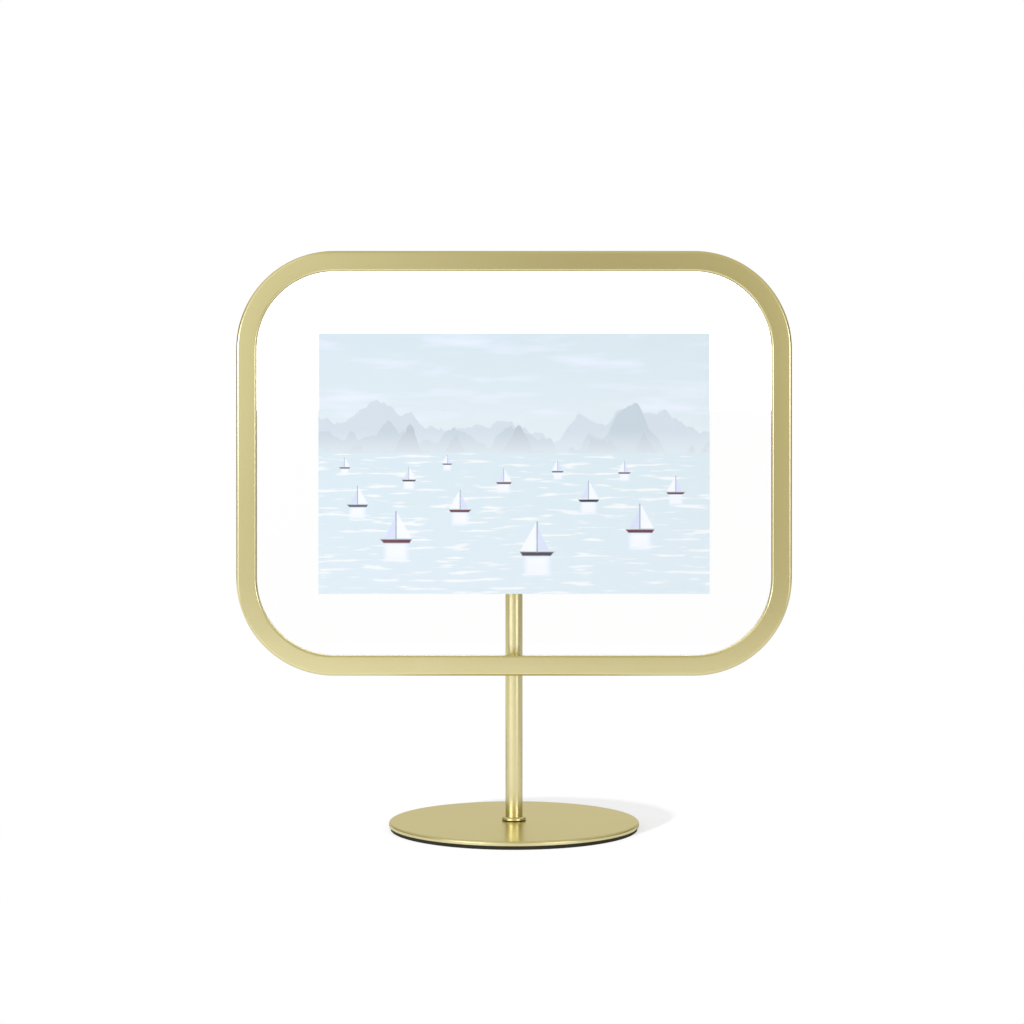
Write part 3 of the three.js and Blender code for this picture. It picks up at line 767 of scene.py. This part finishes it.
# screws: seat and tip are heights along the screw's own axis, and key is the width of its socket
baseScrewSettings = {"headRadius": 5, "headHeight": 1.0, "dome": 0.5, "shank": 2, "seat": 1.4, "tip": 14.3,
                     "key": 3.0, "keyDepth": 0.8, "steps": 48}
pivotScrewSettings = {"headRadius": 4, "headHeight": 2.2, "dome": 1.1, "shank": 2, "seat": -7.8, "tip": 10.0,
                      "key": 2.5, "keyDepth": 1.4, "steps": 56}
setScrewSettings = {"radius": 1.5, "start": 3.5, "end": 5.4, "edge": 0.2, "key": 1.5, "keyDepth": 1.2,
                    "steps": 40}
tipChamfer = 0.3
drillPoint = 0.29  # height of a drill's cone, in widths of the socket


def screwShape(d):
    top = d["seat"] - d["headHeight"]
    bm = turned([(0, top), (d["headRadius"], top), (d["headRadius"], d["seat"]), (d["shank"], d["seat"]),
                 (d["shank"], d["tip"]), (0, d["tip"])], d["steps"])
    roundEdges(bm, d["dome"], 6, onCircles((d["headRadius"], top)))
    roundEdges(bm, tipChamfer, 1, onCircles((d["shank"], d["tip"])))
    return bm, top


def hexKey(acrossFlats, bottom, top):
    bm = bmesh.new()
    corner = acrossFlats * mm / math.sqrt(3)
    bmesh.ops.create_cone(bm, cap_ends=True, segments=6, radius1=corner, radius2=corner,
                          depth=(top - bottom) * mm)
    bmesh.ops.translate(bm, verts=bm.verts, vec=(0, 0, (bottom + top) / 2 * mm))
    # the socket is drilled first, so its floor is a cone
    ends = [face for face in bm.faces if abs(face.normal.z) > 0.9]
    bmesh.ops.poke(bm, faces=ends, offset=acrossFlats * drillPoint * mm)
    return bm


def slotKey(width, length, bottom, top):
    bm = bmesh.new()
    bmesh.ops.create_cube(bm, size=1)
    bmesh.ops.scale(bm, verts=bm.verts, vec=(length * mm, width * mm, (top - bottom) * mm))
    bmesh.ops.translate(bm, verts=bm.verts, vec=(0, 0, (bottom + top) / 2 * mm))
    return bm


def standScrews():
    d = baseScrewSettings
    bm, top = screwShape(d)
    bm = combine(bm, [hexKey(d["key"], top - past, top + d["keyDepth"])], "DIFFERENCE")
    finishPiece(bm, "baseScrew", "base_screw", "stand", "plain_steel", zinc)
    d = setScrewSettings
    bm = rod(d["radius"], d["start"], d["end"], d["steps"])
    roundEdges(bm, d["edge"], 2)
    bm = combine(bm, [hexKey(d["key"], d["end"] - d["keyDepth"], d["end"] + past)], "DIFFERENCE")
    bm.transform(toSetScrew)
    finishPiece(bm, "headSetScrew", "head_set_screw", "stand", "plain_steel", zinc)


def pivotScrew():
    d = pivotScrewSettings
    bm, top = screwShape(d)
    bm = combine(bm, [hexKey(d["key"], top - past, top + d["keyDepth"])], "DIFFERENCE")
    bm.transform(toPivot)
    finishPiece(bm, "pivotScrew", "pivot_screw", "picture_frame", "plain_steel", zinc)


washerSettings = {"bore": 2.2, "radius": 6.2, "thickness": 0.8, "front": 6.1, "rear": -6.9, "edge": 0.15,
                  "steps": 64}
waveSettings = {"bore": 2.2, "radius": 4.5, "thickness": 0.3, "middle": -7.35, "swing": 0.2, "crests": 3,
                "steps": 96}


def washers():
    d = washerSettings
    for name, node, start in (("frictionWasherFront", "friction_washer_front", d["front"]),
                              ("frictionWasherRear", "friction_washer_rear", d["rear"])):
        bm = tube(d["bore"], d["radius"], start, start + d["thickness"], d["steps"])
        roundEdges(bm, d["edge"], 2)
        bm.transform(toPivot)
        finishPiece(bm, name, node, "stand", "white_nylon", nylon)
    d = waveSettings
    start, end = d["middle"] - d["thickness"] / 2, d["middle"] + d["thickness"] / 2
    bm = tube(d["bore"], d["radius"], start, end, d["steps"])
    for vert in bm.verts:
        vert.co.z += d["swing"] * mm * math.cos(d["crests"] * math.atan2(vert.co.y, vert.co.x))
    bm.transform(toPivot)
    finishPiece(bm, "waveWasher", "wave_washer", "picture_frame", "plain_steel", zinc)


hubSettings = {"bore": 2.1, "floor": 10.5, "boss": 6, "rear": 7.0, "plateRear": 9.5, "radius": 16,
               "front": 11.3, "edge": 0.5, "steps": 96}


def pivotHub():
    d = hubSettings
    bm = turned([(0, d["floor"]), (d["bore"], d["floor"]), (d["bore"], d["rear"]), (d["boss"], d["rear"]),
                 (d["boss"], d["plateRear"]), (d["radius"], d["plateRear"]), (d["radius"], d["front"]),
                 (0, d["front"])], d["steps"])
    roundEdges(bm, d["edge"], 4, onCircles((d["boss"], d["rear"]), (d["radius"], d["plateRear"])))
    bm.transform(toPivot)
    finishPiece(bm, "pivotHub", "pivot_hub", "picture_frame", "plain_steel", zinc)


postHead()
standScrews()
pivotScrew()
washers()
pivotHub()
print("pivot modelled")


# picture frame: ring, panes, print
ringSettings = {"width": 215.6, "height": 164.8, "corner": 38.0, "face": 7.9, "wall": 4.0, "rear": -11.3,
                "front": -19.15, "lip": -16.95, "arris": 1.2, "innerArris": 0.8, "rearArris": 1.0,
                "wallDepth": 0.1, "cornerSteps": 28, "tapRadius": 1.1, "tapStart": 10, "tapEnd": 15.3,
                "tapSteps": 24}
# where each turn button's screw stands, from the pivot, and how its tip is turned to lie over the pane
buttonPlaces = {"top_left": (-50, 80.4, math.pi), "top_right": (50, 80.4, math.pi),
                "bottom_left": (-50, -80.4, 0), "bottom_right": (50, -80.4, 0)}


def insideOutline(point):
    # how far a point lies in from the ring's outer outline
    d = ringSettings
    beyondX = abs(point.x) - d["width"] / 2 + d["corner"]
    beyondZ = abs(point.z - pivotHeight) - d["height"] / 2 + d["corner"]
    reach = math.hypot(max(beyondX, 0), max(beyondZ, 0)) + min(max(beyondX, beyondZ), 0)
    return d["corner"] - reach


def frameRing():
    d = ringSettings
    straightX, straightZ = d["width"] / 2 - d["corner"], d["height"] / 2 - d["corner"]
    section = [(0, d["front"]), (d["face"], d["front"]), (d["face"], d["lip"]), (d["wall"], d["lip"]),
               (d["wall"], d["rear"]), (0, d["rear"])]
    bm = bmesh.new()
    top = pivotHeight + d["height"] / 2
    verts = [bm.verts.new((-straightX * mm, depth * mm, (top - inset) * mm)) for inset, depth in section]
    edges = [bm.edges.new((verts[i], verts[(i + 1) % len(verts)])) for i in range(len(verts))]
    # along a bar, then round a corner, four times over
    sides = [((2 * straightX, 0), (straightX, straightZ)), ((0, -2 * straightZ), (straightX, -straightZ)),
             ((-2 * straightX, 0), (-straightX, -straightZ)), ((0, 2 * straightZ), (-straightX, straightZ))]
    for (alongX, alongZ), (centreX, centreZ) in sides:
        grown = bmesh.ops.extrude_edge_only(bm, edges=edges)["geom"]
        verts = [item for item in grown if isinstance(item, bmesh.types.BMVert)]
        edges = [item for item in grown if isinstance(item, bmesh.types.BMEdge) and item.verts[0] in verts
                 and item.verts[1] in verts]
        bmesh.ops.translate(bm, verts=verts, vec=(alongX * mm, 0, alongZ * mm))
        swung = bmesh.ops.spin(bm, geom=verts + edges, axis=(0, 1, 0), angle=math.pi / 2,
                               cent=(centreX * mm, 0, (pivotHeight + centreZ) * mm),
                               steps=d["cornerSteps"])["geom_last"]
        edges = [item for item in swung if isinstance(item, bmesh.types.BMEdge)]
    bmesh.ops.remove_doubles(bm, verts=bm.verts, dist=0.001 * mm)
    bmesh.ops.recalc_face_normals(bm, faces=bm.faces)
    roundEdges(bm, d["arris"], 6, lambda p: p.y < d["front"] + near and insideOutline(p) < near)
    roundEdges(bm, d["innerArris"], 6,
               lambda p: p.y < d["front"] + near and insideOutline(p) > d["face"] - near)
    roundEdges(bm, d["rearArris"], 6, lambda p: p.y > d["rear"] - near and insideOutline(p) < near)
    taps = []
    for x, y, turn in buttonPlaces.values():
        tap = rod(d["tapRadius"], d["tapStart"], d["tapEnd"], d["tapSteps"])
        tap.transform(toPivot @ Matrix.Translation((x * mm, y * mm, 0)))
        taps.append(tap)
    bm = combine(bm, taps, "DIFFERENCE")
    bm.normal_update()
    # the lip's inner wall takes the painted shade
    for face in bm.faces:
        inset = insideOutline(face.calc_center_median() / mm)
        inWall = abs(face.normal.y) < 0.05 and inset > d["face"] - d["wallDepth"]
        face.material_index = 1 if inWall else 0
    finishPiece(bm, "frameRing", "frame_ring", "picture_frame", "champagne_gold", plating, innerWallShade)


paneSettings = {"inset": 4.3, "seam": 0.35, "cornerSteps": 24,
                "panes": [("rearGlass", "rear_glass", -11.4, -14.4),
                          ("frontGlass", "front_glass", -14.85, -16.85)]}


def glassPanes():
    d = paneSettings
    halfX = ringSettings["width"] / 2 - d["inset"]
    halfZ = ringSettings["height"] / 2 - d["inset"]
    for name, node, rear, front in d["panes"]:
        bm = bmesh.new()
        corners = [bm.verts.new((x * mm, rear * mm, (pivotHeight + z) * mm))
                   for x, z in ((-halfX, -halfZ), (halfX, -halfZ), (halfX, halfZ), (-halfX, halfZ))]
        bm.faces.new(corners)
        bmesh.ops.bevel(bm, geom=corners, offset=(ringSettings["corner"] - d["inset"]) * mm,
                        segments=d["cornerSteps"], profile=0.5, affect="VERTICES", material=-1)
        thicken(bm, (0, front - rear, 0))
        roundEdges(bm, d["seam"], 1)
        for face in bm.faces:
            face.material_index = 0 if abs(face.normal.y) > 0.99 else 1
        pane = finishPiece(bm, name, node, "picture_frame", "glass", glass, glassEdge)
        pane.visible_shadow = False  # clear glass, so the lamps reach the print
        pane.visible_diffuse = False


sheetSettings = {"width": 152.4, "height": 101.6, "rear": -14.5, "front": -14.75}


def printSheet():
    d = sheetSettings
    bm = bmesh.new()
    bmesh.ops.create_cube(bm, size=1)
    thickness, middle = d["rear"] - d["front"], (d["rear"] + d["front"]) / 2
    bmesh.ops.scale(bm, verts=bm.verts, vec=(d["width"] * mm, thickness * mm, d["height"] * mm))
    bmesh.ops.translate(bm, verts=bm.verts, vec=(0, middle * mm, pivotHeight * mm))
    for face in bm.faces:
        face.material_index = 0 if face.normal.y < -0.9 else 1
    finishPiece(bm, "printSheet", "print", "picture_frame", "print_paper", printed, bare)


buttonSettings = {"width": 3.6, "reach": 4.3, "rear": 10.4, "front": 11.2, "round": 0.2, "tipSteps": 16,
                  "hole": 1.1, "holeFrom": 9, "holeTo": 12, "holeSteps": 24}
buttonScrewSettings = {"headRadius": 1.7, "headHeight": 1.1, "dome": 0.55, "shank": 1.0, "seat": 10.3,
                       "tip": 14.8, "slot": 0.45, "slotDepth": 0.5, "slotTurn": 20, "steps": 36}


def turnButton(name, node, body, place):
    d = buttonSettings
    half = d["width"] / 2
    bm = bmesh.new()
    # a half circle round the tip, then one round the screw
    outline = []
    for centre, start in ((d["reach"] - half, 0), (0, math.pi)):
        for step in range(d["tipSteps"] + 1):
            angle = start + math.pi * step / d["tipSteps"]
            outline.append((half * math.cos(angle), centre + half * math.sin(angle)))
    bm.faces.new([bm.verts.new((x * mm, y * mm, d["rear"] * mm)) for x, y in outline])
    thicken(bm, (0, 0, d["front"] - d["rear"]))
    roundEdges(bm, d["round"], 3)
    hole = rod(d["hole"], d["holeFrom"], d["holeTo"], d["holeSteps"])
    bm = combine(bm, [hole], "DIFFERENCE")
    bm.transform(place)
    finishPiece(bm, name, node, body, "champagne_gold", plating)


def turnButtonScrew(name, node, place):
    d = buttonScrewSettings
    bm, top = screwShape(d)
    slot = slotKey(d["slot"], 2 * d["headRadius"] + past, top - past, top + d["slotDepth"])
    bm = combine(bm, [slot], "DIFFERENCE")
    bm.transform(place @ Matrix.Rotation(math.radians(d["slotTurn"]), 4, "Z"))
    finishPiece(bm, name, node, "picture_frame", "plain_steel", zinc)


def turnButtons():
    for corner, (x, y, turn) in buttonPlaces.items():
        words = "".join(word.capitalize() for word in corner.split("_"))
        place = toPivot @ Matrix.Translation((x * mm, y * mm, 0))
        turnButton("turnButton" + words, "turn_button_" + corner, "button_" + corner,
                   place @ Matrix.Rotation(turn, 4, "Z"))
        turnButtonScrew("turnButtonScrew" + words, "turn_button_screw_" + corner, place)


frameRing()
glassPanes()
printSheet()
turnButtons()
print("picture frame modelled")
